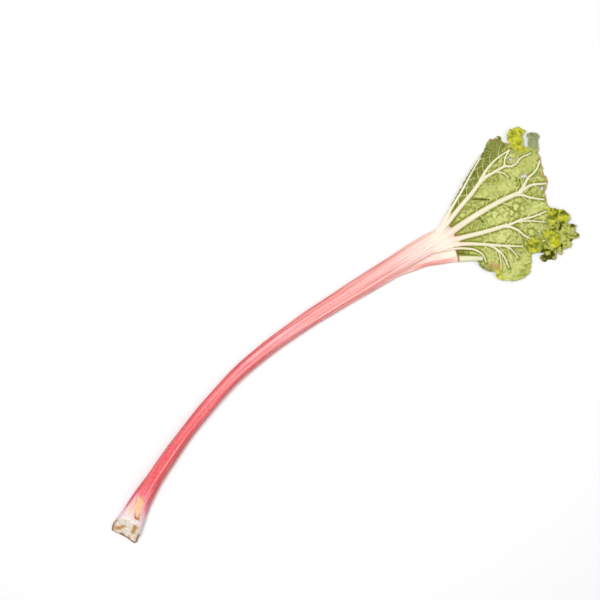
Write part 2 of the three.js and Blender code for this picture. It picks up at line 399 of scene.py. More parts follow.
class Shades:
    # the nodes of one material, made by short calls
    def __init__(self, name):
        self.material = bpy.data.materials.new(name)
        self.material.use_nodes = True
        self.tree = self.material.node_tree

    def wire(self, made, inputs):
        for key, value in inputs.items():
            if isinstance(value, bpy.types.NodeSocket):
                self.tree.links.new(value, made.inputs[key])
            else:
                made.inputs[key].default_value = value

    def finish(self, inputs):
        self.wire(self.tree.nodes["Principled BSDF"], inputs)
        return self.material

    def node(self, kind, inputs, output=0, **settings):
        made = self.tree.nodes.new("ShaderNode" + kind)
        for key, value in settings.items():
            setattr(made, key, value)
        self.wire(made, inputs)
        return made.outputs[output]

    def attribute(self, name, output="Fac"):
        return self.node("Attribute", {}, output, attribute_name=name)

    def position(self):
        return self.node("TexCoord", {}, "Object")

    def math(self, operation, a, b, clamp=False):
        return self.node("Math", {0: a, 1: b}, operation=operation, use_clamp=clamp)

    def times(self, a, b, clamp=False):
        return self.math("MULTIPLY", a, b, clamp)

    def remap(self, value, low, high, outLow=0.0, outHigh=1.0):
        return self.node("MapRange", {"Value": value, "From Min": low, "From Max": high,
                                      "To Min": outLow, "To Max": outHigh})

    def mix(self, factor, a, b):
        return self.node("Mix", {0: factor, 6: a, 7: b}, 2, data_type="RGBA")

    def coats(self, colour, *coats):
        # each coat says how much of it there is, and its colour
        for share, coat in coats:
            colour = self.mix(share, colour, coat)
        return colour

    def ramp(self, factor, stops):
        colour = self.node("ValToRGB", {"Fac": factor}, "Color")
        band = colour.node.color_ramp
        while len(band.elements) < len(stops):
            band.elements.new(0.5)
        for element, (place, shade) in zip(band.elements, stops):
            element.position = place
            element.color = shade
        return colour

    def noise(self, vector, scale, detail=3.0, rough=0.5):
        return self.node("TexNoise", {"Vector": vector, "Scale": scale, "Detail": detail,
                                      "Roughness": rough}, "Fac")

    def drawnOut(self, vector, stretch, detail, rough=0.5, scale=1.0):
        return self.noise(self.node("Mapping", {"Vector": vector, "Scale": stretch}), scale, detail, rough)

    def bump(self, height, distance, strength=1.0, below=None):
        inputs = {"Height": height, "Distance": distance, "Strength": strength}
        if below:
            inputs["Normal"] = below
        return self.node("Bump", inputs)


stalkFinish = {
    "roughness": (0.34, 0.5),
    "specular": 0.5,
    "coat": 0.25,
    "coatRoughness": 0.3,
    "subsurface": 0.1,
    "subsurfaceRadius": (0.003, 0.0009, 0.0007),
    "pinkReach": 30.0,  # mm past the petiole's end
    # part of the petiole's length and its colour, along the top and along the sides; the paler top is partly
    # painted sheen, and the deeper red sides are partly painted shade over the skin's own red
    "top": [(0.0, rgb(236, 232, 226)), (0.075, rgb(238, 230, 232)), (0.095, rgb(242, 190, 206)),
            (0.115, rgb(244, 108, 122)), (0.15, rgb(240, 84, 92)), (0.34, rgb(240, 92, 98)),
            (0.47, rgb(242, 116, 122)), (0.6, rgb(244, 142, 144)), (0.73, rgb(244, 156, 152)),
            (0.85, rgb(246, 196, 186)), (0.92, rgb(246, 218, 206)), (1.0, rgb(242, 230, 206))],
    "sides": [(0.0, rgb(228, 220, 222)), (0.055, rgb(238, 200, 214)), (0.085, rgb(222, 60, 92)),
              (0.11, rgb(204, 16, 38)), (0.34, rgb(190, 26, 36)), (0.5, rgb(204, 56, 60)),
              (0.7, rgb(220, 104, 98)), (0.85, rgb(228, 150, 138)), (0.95, rgb(232, 196, 176)),
              (1.0, rgb(228, 210, 180))],
    "streak": rgb(206, 40, 54),
    "paleStreak": rgb(250, 192, 188),
    "rib": rgb(240, 232, 204),
    "ribPink": rgb(243, 220, 206),
    "ribEdge": rgb(196, 192, 92),
    "amber": rgb(186, 92, 30),
    "cut": rgb(252, 240, 226),
    "cutBrown": rgb(148, 86, 26),
    "cutOrange": rgb(202, 142, 62),
    "flush": rgb(232, 104, 100),
    "peach": rgb(248, 184, 150),
    "greenTube": rgb(222, 222, 182),
}


def makeStalkMaterial(look):
    s = Shades("stalkSkin")
    straight = s.attribute("straight", "Vector")
    along = s.node("SeparateXYZ", {"Vector": straight})
    lively = s.math("SUBTRACT", 1.0, s.attribute("calm"))

    def streaks(stretch, detail, rough=0.5):
        value = s.drawnOut(straight, stretch, detail, rough)
        return s.math("ADD", s.times(s.math("SUBTRACT", value, 0.5), lively), 0.5)

    # colour bands whose borders run out in streaks
    broad = streaks((0.012, 0.6, 0.6), 2.0)
    lines = streaks((0.008, 1.1, 1.1), 2.0, 0.55)
    fine = streaks((0.02, 2.2, 2.2), 3.0, 0.6)
    shift = s.math("ADD", s.remap(broad, 0.25, 0.75, -5, 5), s.remap(fine, 0.25, 0.75, -3, 3))
    place = s.remap(s.math("ADD", along, shift), 0, petioleLength)
    sides = s.ramp(place, look["sides"])
    sideways = s.math("ADD", s.attribute("side"), s.remap(broad, 0.3, 0.7, -0.25, 0.25))
    # thin lines and short dashes of deeper and paler skin, none on the white base
    dashes = s.drawnOut(straight, (0.9, 3.0, 3.0), 1.0)
    tinted = s.times(s.remap(place, 0.08, 0.13), s.remap(place, 0.97, 0.8))
    paler = s.times(tinted, s.remap(place, 0.3, 0.6, 0.45, 1.0))
    skin = s.coats(
        s.ramp(place, look["top"]),
        # deeper red on the sideways flanks and the right facet: the skin's own red, partly painted shade
        (s.times(sideways, 0.85, True), sides),
        (s.times(s.attribute("facet"), 0.9), sides),
        (s.times(s.remap(fine, 0.54, 0.66, 0, 0.55), tinted), look["streak"]),
        (s.times(s.remap(lines, 0.5, 0.62, 0, 0.6), paler), look["paleStreak"]),
        (s.times(s.remap(lines, 0.47, 0.38, 0, 0.6), tinted), look["streak"]),
        (s.times(s.remap(dashes, 0.6, 0.72, 0, 0.45), tinted), look["streak"]),
        (s.times(s.remap(dashes, 0.42, 0.3, 0, 0.5), tinted), look["paleStreak"]),
        (s.times(s.attribute("peach"), s.remap(broad, 0.3, 0.7, 0.3, 0.9)), look["peach"]),
        (s.attribute("flush"), look["flush"]),
    )
    # ribs are cream, pinker near the petiole, with faint lines along them and painted shade along their sides
    rib = s.coats(
        look["ribPink"],
        (s.remap(along, petioleLength, petioleLength + look["pinkReach"]), look["rib"]),
        (s.remap(fine, 0.5, 0.7, 0, 0.25), look["ribEdge"]),
        (s.times(s.attribute("ribSide"), 0.8), look["ribEdge"]),
    )
    # the cut face is cream flesh, browned at its rim and in patches
    stain = s.noise(s.position(), 170.0, 4.0, 0.6)
    grain = s.noise(s.position(), 900.0)
    flesh = s.coats(
        look["cut"],
        (s.times(s.attribute("stain"), s.remap(stain, 0.3, 0.55, 0.3, 1.3), True), look["cutOrange"]),
        (s.remap(stain, 0.6, 0.66, 0, 0.5), look["cutOrange"]),
        (s.times(s.attribute("cutRim"), s.remap(stain, 0.35, 0.55, 0.5, 1.2), True), look["cutBrown"]),
        (s.remap(grain, 0.5, 0.75, 0, 0.12), look["cutOrange"]),
    )
    colour = s.coats(
        skin,
        (s.attribute("rib"), rib),
        (s.attribute("green"), look["greenTube"]),
        (s.attribute("crotch"), look["amber"]),
        (s.attribute("ring"), look["cutBrown"]),
        (s.attribute("cut"), flesh),
        (s.times(s.attribute("rimLine"), s.remap(stain, 0.3, 0.5, 0.6, 1.0)), look["cutBrown"]),
    )
    pits = s.drawnOut(straight, (0.9, 2.6, 2.6), 2.0, scale=1.3)
    furrows = s.bump(lines, 0.0012, 0.6, s.bump(fine, 0.0005, 0.7))
    return s.finish({
        "Base Color": colour,
        "Roughness": s.remap(fine, 0.3, 0.7, *look["roughness"]),
        "Specular IOR Level": look["specular"],
        "Subsurface Weight": look["subsurface"],
        "Subsurface Radius": look["subsurfaceRadius"],
        "Subsurface Scale": 1.0,
        "Coat Weight": look["coat"],
        "Coat Roughness": look["coatRoughness"],
        "Normal": s.bump(pits, 0.00015, 0.5, furrows),
    })


leafFinish = {
    "roughness": (0.45, 0.62),
    "specular": 0.25,
    "subsurface": 0.08,
    "subsurfaceRadius": (0.0006, 0.001, 0.0002),
    "tissue": rgb(134, 146, 22),
    "tissuePale": rgb(226, 230, 144),
    "tissueGrey": rgb(164, 173, 74),
    "shaded": rgb(100, 108, 14),
    # painted shadow for gashes, creases and hollows
    "deep": rgb(74, 80, 8),
    # olive tissue, also used as painted shade beside ribs and in hollows
    "olive": rgb(114, 118, 4),
    "net": rgb(206, 212, 150),
    "yellow": rgb(222, 222, 56),
    "yellowDeep": rgb(180, 180, 28),
    "grey": rgb(150, 160, 122),
    "dry": rgb(190, 142, 84),
    "amber": rgb(186, 104, 34),
}


def makeLeafMaterial(look):
    s = Shades("leafGreen")
    large = s.noise(s.position(), 60.0, 2.0)
    small = s.noise(s.position(), 420.0, 4.0, 0.6)
    fine = s.noise(s.position(), 1400.0, 3.0, 0.6)
    wrinkles = s.noise(s.position(), 700.0, 4.0, 0.65)
    colour = s.coats(
        look["tissue"],
        # paler on the crests of the puffed fields: painted highlight
        (s.remap(s.attribute("raised"), 0.25, 0.9), look["tissuePale"]),
        (s.remap(large, 0.4, 0.65, 0, 0.5), look["tissueGrey"]),
        (s.remap(small, 0.42, 0.7, 0, 0.45), look["tissueGrey"]),
        (s.remap(fine, 0.5, 0.72, 0, 0.3), look["tissuePale"]),
        (s.times(s.attribute("shaded"), 0.75), look["shaded"]),
        (s.times(s.attribute("olive"), 0.85), look["olive"]),
        (s.attribute("yellow"), s.mix(s.remap(small, 0.35, 0.65), look["yellow"], look["yellowDeep"])),
        (s.attribute("grey"), look["grey"]),
        (s.times(s.attribute("net"), 0.45), look["net"]),
        (s.attribute("deep"), look["deep"]),
        (s.times(s.attribute("dry"), s.remap(small, 0.3, 0.55, 0.5, 1.0)), look["dry"]),
        (s.attribute("amber"), look["amber"]),
    )
    return s.finish({
        "Base Color": colour,
        "Roughness": s.remap(small, 0.3, 0.7, *look["roughness"]),
        "Specular IOR Level": look["specular"],
        "Subsurface Weight": look["subsurface"],
        "Subsurface Radius": look["subsurfaceRadius"],
        "Subsurface Scale": 1.0,
        "Normal": s.bump(wrinkles, 0.0013),
    })


def makeVeinMaterial():
    s = Shades("leafVein")
    mottle = s.noise(s.position(), 300.0)
    return s.finish({
        "Base Color": s.mix(s.remap(mottle, 0.35, 0.65), rgb(226, 226, 168), rgb(206, 212, 138)),
        "Roughness": s.remap(mottle, 0.3, 0.7, 0.4, 0.55),
        "Normal": s.bump(mottle, 0.0002, 0.5),
    })


def makeSheathMaterial():
    s = Shades("drySheath")
    straight = s.attribute("straight", "Vector")
    fibres = s.drawnOut(straight, (0.08, 2.5, 2.5), 4.0, 0.6)
    blotch = s.noise(straight, 0.35)
    colour = s.coats(
        rgb(250, 206, 172),
        (s.remap(fibres, 0.35, 0.65), rgb(238, 168, 124)),
        (s.times(s.attribute("low"), s.remap(blotch, 0.3, 0.6, 0.3, 1.2), True), rgb(186, 112, 46)),
        (s.remap(blotch, 0.66, 0.72, 0, 0.8), rgb(134, 88, 52)),
    )
    return s.finish({
        "Base Color": colour,
        "Roughness": s.remap(fibres, 0.3, 0.7, 0.6, 0.85),
        "Normal": s.bump(fibres, 0.0004, 0.8),
    })


stalkMaterial = makeStalkMaterial(stalkFinish)
leafMaterial = makeLeafMaterial(leafFinish)
veinMaterial = makeVeinMaterial()
sheathMaterial = makeSheathMaterial()
print("materials made")


# geometry nodes: round strands along routes
def makeStrandTree():
    tree = bpy.data.node_groups.new("strand", "GeometryNodeTree")
    face = tree.interface
    sockets = {"Thickness": "Float", "Sides": "Int", "Material": "Material"}
    for way in ("INPUT", "OUTPUT"):
        face.new_socket("Geometry", in_out=way, socket_type="NodeSocketGeometry")
    for name, kind in sockets.items():
        face.new_socket(name, in_out="INPUT", socket_type="NodeSocket" + kind)
    kinds = {"start": "NodeGroupInput", "line": "GeometryNodeMeshToCurve",
             "half": "GeometryNodeInputNamedAttribute", "scale": "ShaderNodeMath",
             "round": "GeometryNodeCurvePrimitiveCircle", "skin": "GeometryNodeCurveToMesh",
             "real": "GeometryNodeRealizeInstances", "coat": "GeometryNodeSetMaterial",
             "end": "NodeGroupOutput"}
    made = {name: tree.nodes.new(kind) for name, kind in kinds.items()}
    made["half"].data_type = "FLOAT"
    made["half"].inputs["Name"].default_value = "half"
    made["scale"].operation = "MULTIPLY"
    made["round"].inputs["Radius"].default_value = 1.0
    made["skin"].inputs["Fill Caps"].default_value = True
    wires = [("start", "Geometry", "line", "Mesh"), ("half", "Attribute", "scale", 0),
             ("start", "Thickness", "scale", 1), ("start", "Sides", "round", "Resolution"),
             ("line", "Curve", "skin", "Curve"),
             ("round", "Curve", "skin", "Profile Curve"), ("scale", 0, "skin", "Scale"),
             ("skin", "Mesh", "real", "Geometry"), ("real", "Geometry", "coat", "Geometry"),
             ("start", "Material", "coat", "Material"), ("coat", "Geometry", "end", "Geometry")]
    for source, output, target, entry in wires:
        tree.links.new(made[source].outputs[output], made[target].inputs[entry])
    return tree


strandTree = makeStrandTree()


def strands(name, lines, thickness, sides, material):
    # lines: pairs of a route in metres and its half widths in metres
    vertices = np.vstack([line for line, _ in lines])
    edges = []
    start = 0
    for line, _ in lines:
        edges += [(i, i + 1) for i in range(start, start + len(line) - 1)]
        start += len(line)
    mesh = bpy.data.meshes.new(name)
    mesh.from_pydata([tuple(v) for v in vertices], edges, [])
    holder = bpy.data.objects.new(name, mesh)
    scene.collection.objects.link(holder)
    storeNumbers(holder, half=np.concatenate([half for _, half in lines]))
    modifier = holder.modifiers.new("strand", "NODES")
    modifier.node_group = strandTree
    values = {"Thickness": thickness, "Sides": sides, "Material": material}
    for item in strandTree.interface.items_tree:
        if item.in_out == "INPUT" and item.name in values:
            modifier[item.identifier] = values[item.name]
    return evaluated(holder, name)


# stalk: petiole, flank and ribs as one skin
stalkShape = {
    "voxel": 0.52,         # mm
    "thickRib": 1.55,      # ribs of at least this half width at their root join the skin
    "flankRoute": [(300, 66, 3.6), (314, 62.5, 3.6), (328, 58.5, 3.6), (340, 54.6, 3.5), (353, 50.4, 3.2)],
    "flankHalf": (1.5, 5.0),
    "flankHeight": 1.7,
    "edgeRoute": [(300, 62.5, 4.0), (309, 60.8, 3.6), (318, 58.6, 3.4), (327, 56.6, 3.3), (336.5, 52.3, 3.4),
                  (344, 48.8, 3.5), (351, 45.6, 3.6)],
    "edgeHalf": (0.9, 2.5),
    "ridgeAngle": 42.0,    # degrees right of the top, the shoulder of the redder facet
    "ridgeHeight": 0.22,
    "facets": [(6, 0.26, 0.7), (11, 0.2, 2.1), (21, 0.14, 0.4)],  # ribs round the skin, height, start
    "wander": 5.0,
    # brown rim where the flank ends
    "ringRoute": [(353.4, 54), (353, 51.5), (352.2, 48.8), (351.4, 46.6), (350.6, 45), (349.8, 43.4)],
    # orange marks on the cut face
    "stains": [[(0, 27.5), (5, 25), (11, 23.2)], [(13.5, 15.5), (18.5, 18.6)]],
    "relaxRounds": (4, 14),    # everywhere, then at the neck
    "tornDepths": [(0.3, 5.0, 0.9), (0.9, 2.0, 0.3)],  # the cut face: scale, seed and mm
}


def cappedTube(name, rings, ends):
    # a closed skin over rings of points, with a middle point at both ends
    count, sides = rings.shape[:2]
    faces = gridFaces(count, sides, closed=True)
    last = (count - 1) * sides
    for c in range(sides):
        d = (c + 1) % sides
        faces += [(count * sides, d, c), (count * sides + 1, last + c, last + d)]
    return meshObject(name, np.vstack([rings.reshape(-1, 3), *ends]), [f[::-1] for f in faces])


def petioleBody():
    count = len(petioleLine)
    angles = np.linspace(-180, 180, petiole["sides"], endpoint=False)
    rings = petiolePoint(np.repeat(np.arange(count), len(angles)), np.tile(angles, count))
    ends = [petiolePoint(np.array([i]), np.zeros(1), 0.0) for i in (0, count - 1)]
    return cappedTube("body", rings.reshape(count, -1, 3), ends)


def cutPlane():
    lean, heading = math.radians(petiole["cutLean"]), math.radians(petiole["cutHeading"])
    level = -math.cos(lean)
    outward = Vector((level * math.cos(heading), level * math.sin(heading), math.sin(lean)))
    return Vector(petiole["cutPoint"]), outward


def cutBase(holder):
    point, outward = cutPlane()
    built = bmesh.new()
    built.from_mesh(holder.data)
    everything = built.verts[:] + built.edges[:] + built.faces[:]
    bmesh.ops.bisect_plane(built, geom=everything, plane_co=point, plane_no=outward, clear_outer=True)
    rim = [e for e in built.edges if e.is_boundary]
    bmesh.ops.edgeloop_fill(built, edges=rim)
    bmesh.ops.recalc_face_normals(built, faces=built.faces[:])
    built.to_mesh(holder.data)
    built.free()


def flankBody():
    # a flat strip with rounded edges beside the petiole
    line = smoothRoute(stalkShape["flankRoute"], 1.0)
    half = np.linspace(*stalkShape["flankHalf"], len(line))
    angles = np.radians(np.linspace(-180, 180, 20, endpoint=False))
    rings = []
    for p, a, h in zip(line, headings(line), half):
        left, rise = h * np.cos(angles), stalkShape["flankHeight"] * np.sin(angles)
        rings.append(np.column_stack([p[0] - a[1] * left, p[1] + a[0] * left, p[2] + rise]))
    return cappedTube("flank", np.array(rings), [line[:1], line[-1:]])


def isThick(name):
    return ribs[name][1] >= stalkShape["thickRib"]


def ribBodies():
    lines = [ribLines[name] for name in ribs if isThick(name)]
    edge = smoothRoute(stalkShape["edgeRoute"], 1.2)
    lines.append((edge, np.linspace(*stalkShape["edgeHalf"], len(edge))))
    holder = strands("ribs", lines, 1.0, 14, None)
    points = coordinates(holder)
    # their undersides stay above the table and close under the blade
    floor = np.where(points[:, 0] > leaf["neck"][0] + 4, leafLevel(points[:, 0], points[:, 1]) - 1.1, 0.4)
    points[:, 2] = np.maximum(points[:, 2], floor)
    setCoordinates(holder, points)
    return holder


def stalkFrame(points):
    # where each point lies: along the petiole or its rib, left of it and above it
    index, _ = nearestOf(np.column_stack([petioleLine[:, :2], petioleMiddles]), points)
    ahead, away = petioleAhead[index], points[:, :2] - petioleLine[index, :2]
    onward = (away * ahead).sum(axis=1)
    left = ahead[:, 0] * away[:, 1] - ahead[:, 1] * away[:, 0]
    rise = points[:, 2] - petioleMiddles[index]
    straight = np.column_stack([index * petiole["step"] + onward, left, rise])
    ribIndex, _ = nearestOf(ribPoints, points)
    ribAheads, fromRib = ribAhead[ribIndex], points - ribPoints[ribIndex]
    ribLeft = ribAheads[:, 0] * fromRib[:, 1] - ribAheads[:, 1] * fromRib[:, 0]
    outward = np.hypot(points[:, 0] - leaf["neck"][0], points[:, 1] - leaf["neck"][1])
    ribStraight = np.column_stack([petioleLength + outward, ribLeft, fromRib[:, 2]])
    return index, straight, ribStraight, ribIndex


def amberMask(points):
    # the slim browned tips of the gaps between ribs
    most = np.zeros(len(points))
    for x, y in leaf["crotches"]:
        heading = math.atan2(y - leaf["neck"][1], x - leaf["neck"][0] + 12)
        away = points[:, :2] - (x, y)
        onward = away[:, 0] * math.cos(heading) + away[:, 1] * math.sin(heading)
        across = away[:, 1] * math.cos(heading) - away[:, 0] * math.sin(heading)
        tip = bell(across, 0, 1) * smoothstep(-2, -0.5, onward) * bell(np.maximum(onward, 0), 0, 3)
        most = np.maximum(most, 0.85 * tip)
    return most


def skinRelief(run, place, section, right):
    # ribs along the skin, uneven in height and spacing
    drift = stalkShape["wander"] * np.sin(place * 17 + 0.8) + 14 * np.sin(place * 5.5)
    move = np.zeros(len(place))
    for i, (count, height, start) in enumerate(stalkShape["facets"]):
        uneven = roughness(np.column_stack([run * 0.02, section * 0.03, section * 0 + i]), 1.0, 3.0)
        swing = np.cos(np.radians(section + drift) * count + start + 2.5 * uneven)
        move += height * swing * (0.75 + 0.5 * uneven)
    # the shoulder of the redder facet, in the lower half of the stalk
    angle = stalkShape["ridgeAngle"]
    ridge = stalkShape["ridgeHeight"] * (bell(right, angle, 9) - 0.9 * bell(right, angle + 17, 9))
    ridge *= smoothstep(0.07, 0.16, place) * (1 - smoothstep(0.5, 0.72, place))
    swell = 0.4 * roughness(np.column_stack([run * 0.035, section * 0.01, section * 0]), 1.0, 9.0)
    return move + ridge + swell


def makeStalk():
    body = petioleBody()
    cutBase(body)
    whole = joined("whole", [body, flankBody(), ribBodies()])
    remesh = whole.modifiers.new("skin", "REMESH")
    remesh.mode = "VOXEL"
    remesh.voxel_size = stalkShape["voxel"]
    whole = evaluated(whole, "rhubarb_stalk")
    points = coordinates(whole)
    print("stalk skin has", len(points), "points")
    onNeck = bell(points[:, 0], 345, 12) * (1 - smoothstep(352, 357, points[:, 0]))
    everywhere, atNeck = stalkShape["relaxRounds"]
    points = relaxed(whole, points, 0.25 + 0.4 * onNeck, everywhere)
    points = relaxed(whole, points, 0.5 * onNeck * smoothstep(56, 60, points[:, 1]), atNeck)
    setCoordinates(whole, points)
    normals = readVectors(whole.data.vertex_normals, "vector")
    index, straight, ribStraight, ribIndex = stalkFrame(points)
    place = straight[:, 0] / petioleLength
    fanned = smoothstep(leaf["neck"][0] - 8, leaf["neck"][0] + 8, points[:, 0])
    section = np.degrees(np.arctan2(straight[:, 2] / halfHeights[index], straight[:, 1] / halfWidths[index]))
    right = (section - 90 + 180) % 360 - 180  # degrees right of the top
    cutPoint, outward = cutPlane()
    depth = (points - np.array(cutPoint)) @ np.array(outward)  # zero on the cut face, less below it
    cut = smoothstep(-1.0, -0.4, depth) * smoothstep(0.5, 0.85, normals @ np.array(outward))
    onSkin = (1 - fanned) * (1 - cut) * smoothstep(0, 1.5, points[:, 2])
    # the cut face is torn rather than sliced
    torn = sum(roughness(points, scale, seed) * size for scale, seed, size in stalkShape["tornDepths"])
    move = skinRelief(straight[:, 0], place, section, right) * onSkin + torn * cut
    points = points + normals * move[:, None]
    points[:, 2] = np.maximum(points[:, 2], tableGap)
    setCoordinates(whole, corner + points * mm)
    x, y, z = points.T
    onFace = depth > -1.5
    fromRim = np.full(len(points), 9.0)
    fromRim[onFace] = nearestOf(points[(depth > -0.6) & (cut < 0.6)], points[onFace])[1]
    lowOnly = 1 - 0.85 * smoothstep(5, 10, z)
    stained = np.vstack([smoothRoute(route, 0.5) for route in stalkShape["stains"]])
    edgeLine = smoothRoute(stalkShape["edgeRoute"], 1.2)
    onEdge = np.exp(-((nearestOf(edgeLine, points)[1] / 2.5) ** 4)) * smoothstep(310, 330, x)
    ringAway = nearestFlat(smoothRoute(stalkShape["ringRoute"], 0.3), points)[1]
    # how far out on its rib each point lies, for the painted shade along the rib's sides
    ribSide = np.abs(ribStraight[:, 1]) / ribHalves[ribIndex]
    storeVector(whole, "straight", np.where(fanned[:, None] > 0.5, ribStraight, straight))
    storeNumbers(
        whole,
        rib=fanned,
        calm=bell(x, leaf["neck"][0], 9),
        ribSide=smoothstep(0.62, 1.0, ribSide) * smoothstep(358, 368, x),
        # flanks facing sideways, for the deeper red that is partly the skin's own and partly painted shade
        facet=bell(right, stalkShape["ridgeAngle"] + 34, 28) * (1 - smoothstep(0.55, 0.75, place)),
        side=smoothstep(0.5, 0.95, np.abs(np.sin(np.radians(right)))) * (right < 60),
        cut=cut,
        cutRim=bell(fromRim, 0, 1.6) * lowOnly,
        rimLine=bell(fromRim, 0, 1.0) * lowOnly,
        stain=bell(nearestFlat(stained, points)[1], 0, 1.7),
        flush=onEdge * smoothstep(-2.5, -0.5, np.interp(x, edgeLine[:, 0], edgeLine[:, 1]) - y),
        ring=0.9 * bell(ringAway, 0, 0.9),
        green=smoothstep(351, 352, x) * (y < 50 - (x - 350) * 0.5),
        crotch=amberMask(points) * (1 - smoothstep(4.2, 6.0, z)),
        peach=np.exp(-(((straight[:, 0] - 31) / 8) ** 4) - ((right + 12) / 36) ** 4),
    )
    whole.data.materials.clear()
    whole.data.materials.append(stalkMaterial)
    smoothShading(whole)
    return whole


def makeThinRibs():
    # the finest forks are too slim for the skin, so they are strands of their own
    names = [name for name in ribs if not isThick(name)]
    lines = [(corner + ribLines[name][0] * mm, ribLines[name][1] * mm) for name in names]
    holder = strands("fine_ribs", lines, 1.0, 12, stalkMaterial)
    points = (coordinates(holder) - corner) / mm
    _, _, ribStraight, ribIndex = stalkFrame(points)
    storeVector(holder, "straight", ribStraight)
    # painted shade along the sides of each fine rib
    ribSide = smoothstep(0.5, 1.0, np.abs(ribStraight[:, 1]) / ribHalves[ribIndex])
    storeNumbers(holder, rib=np.ones(len(points)), ribSide=ribSide)
    smoothShading(holder)
    return holder


stalk = makeStalk()
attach(stalk, "root")
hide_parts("stalk")
thinRibs = makeThinRibs()
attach(thinRibs, "root")
print("stalk made")


# leaf blade
blade = {
    "spacing": 0.5,        # mm between points
    "outlineStep": 0.8,
    "thickness": 0.45,
    "sag": 2.0,            # how far the tissue hangs between ribs
    "sagWidth": 4.0,
    "cell": 5.5,           # size of the fields between the small veins
    "puff": 0.8,
    "ladder": 4.6,         # mm between the cross folds beside a rib
    "ladderPuff": 1.0,
    "creaseDepth": 1.3,
    "rimWave": 1.5,
    "rimWidth": 6.0,
    "edgeRough": 0.55,
    "outline": [(357, 76), (370, 83.3), (384, 90.2), (396, 95.8), (404, 99.2), (417, 104), (425.5, 109),
                (428.5, 107.5), (431, 107), (432.5, 103), (436, 98), (440, 92), (445.5, 88), (450, 85),
                (454.5, 83.6), (451.5, 77), (449.6, 71.6), (447, 66), (446, 61.4), (444.2, 54.4), (440, 51.2),
                (436, 46), (433.5, 38), (434, 33), (431, 26), (424, 20), (414, 17), (404, 15.5), (398.5, 12),
                (395, 7), (389, 3), (383, 3.2), (378, 5), (372.5, 9), (368, 13), (367.5, 16.5), (369, 20),
                (366, 22), (364, 24.5), (361.5, 30), (362.2, 36), (359.5, 38.8), (355, 41.6), (351.5, 45),
                (350, 53), (351, 70)],
    "holes": [(430.5, 86.5, 2.0, 1.4), (431.5, 69.5, 3.1, 1.8), (437.5, 53.5, 1.4, 2.1)],
    "gashes": [[(386.4, 77.8), (391, 75.2), (397.6, 70)], [(391.5, 67.6), (395.6, 65.4)],
               [(424, 62.5), (427, 69)], [(352.5, 49.5), (356, 46.5)], [(378, 63.2), (383, 61), (384, 57.5)]],
    "gashWidth": 0.55,
    "darkEdge": [(360.5, 37.5), (361.6, 31), (364, 26), (367, 23)],
    "yellowed": [(374.5, 21), (370.5, 18.5), (369.5, 15), (370.5, 11.5)],
    # lower edge of the darker back field
    "backField": [(350, 71), (366, 75.4), (381, 80), (400, 86.5), (410, 91), (421, 93.5), (434, 95),
                  (436, 120)],
    "scorches": [(369.8, 25.6), (371.6, 24), (372.6, 21.8), (450.3, 71.6), (446.4, 60.6), (443.9, 54.1),
                 (454.4, 83), (432.6, 105.5)],
}


def closedOutline(points, step):
    ring = smoothRoute(list(points) + [points[0]], step)[:-1, :2]
    size = len(ring)
    ahead = np.roll(ring, -1, axis=0) - np.roll(ring, 1, axis=0)
    ahead /= np.linalg.norm(ahead, axis=1)[:, None]
    wobble = np.array([noise.noise(Vector((p[0] * 0.5, p[1] * 0.5, 4.0))) for p in ring])
    wobble += 0.6 * np.array([noise.noise(Vector((p[0] * 1.3, p[1] * 1.3, 8.0))) for p in ring])
    free = ring[:, 0] > 360
    ring = ring + (blade["edgeRough"] * wobble * free)[:, None] * np.column_stack([-ahead[:, 1], ahead[:, 0]])
    return ring, [(i, (i + 1) % size) for i in range(size)]


def insideOf(ring, points):
    x, y = points[:, 0], points[:, 1]
    inside = np.zeros(len(points), bool)
    for (ax, ay), (bx, by) in zip(ring, np.roll(ring, -1, axis=0)):
        crosses = (ay > y) != (by > y)
        inside ^= crosses & (x < (bx - ax) * (y - ay) / (by - ay + 1e-12) + ax)
    return inside


def cellPattern(points):
    # distance to the border between neighbouring fields, in millimetres
    low, high = points.min(axis=0) - 8, points.max(axis=0) + 8
    columns, rows = np.ceil((high - low) / blade["cell"]).astype(int)
    seeds = np.array([(low[0] + (c + 0.5 * (r % 2)) * blade["cell"], low[1] + r * blade["cell"] * 0.87, 0)
                      for r in range(int(rows * 1.2)) for c in range(columns)])
    seeds[:, :2] += rng.uniform(-0.34, 0.34, (len(seeds), 2)) * blade["cell"]
    tree = treeOf(seeds)
    found = [tree.find_n((x, y, 0), 2) for x, y in points]
    return np.array([b[2] - a[2] for a, b in found])


def holeRing(x, y, wide, tall):
    angles = np.linspace(0, 2 * np.pi, 14, endpoint=False)
    rough = 1 + 0.2 * np.sin(angles * 3 + x) + 0.12 * np.cos(angles * 5 + y)
    tilt = math.radians(-25)
    across, up = wide * rough * np.cos(angles), tall * rough * np.sin(angles)
    return np.column_stack([x + across * math.cos(tilt) - up * math.sin(tilt),
                            y + across * math.sin(tilt) + up * math.cos(tilt)])


def bladeSheet():
    # a fine sheet of triangles inside the outline, with the holes left open
    ring, edges = closedOutline(blade["outline"], blade["outlineStep"])
    rings = [ring] + [holeRing(*h) for h in blade["holes"]]
    inSheet = lambda p: insideOf(ring, p) & ~np.any([insideOf(hole, p) for hole in rings[1:]], axis=0)
    border = np.vstack(rings)
    start = len(ring)
    for hole in rings[1:]:
        edges += [(start + i, start + (i + 1) % len(hole)) for i in range(len(hole))]
        start += len(hole)
    step = blade["spacing"]
    xs, ys = np.arange(350, 456, step), np.arange(2, 110, step * 0.87)
    grid = np.array([(x + (0.5 * step if j % 2 else 0), y) for j, y in enumerate(ys) for x in xs])
    grid = grid[inSheet(grid)]
    _, gap = nearestFlat(border, grid)
    grid = grid[gap > step * 0.55]
    points = np.vstack([border, grid])
    found = geometry.delaunay_2d_cdt([Vector(p) for p in points], edges, [], 0, 1e-5)
    points, faces = np.array([tuple(v) for v in found[0]]), found[2]
    middles = np.array([points[list(f)].mean(axis=0) for f in faces])
    faces = [f for f, kept in zip(faces, inSheet(middles)) if kept]
    used = sorted({i for f in faces for i in f})
    place = {old: new for new, old in enumerate(used)}
    return points[used], [tuple(place[i] for i in f) for f in faces], ring


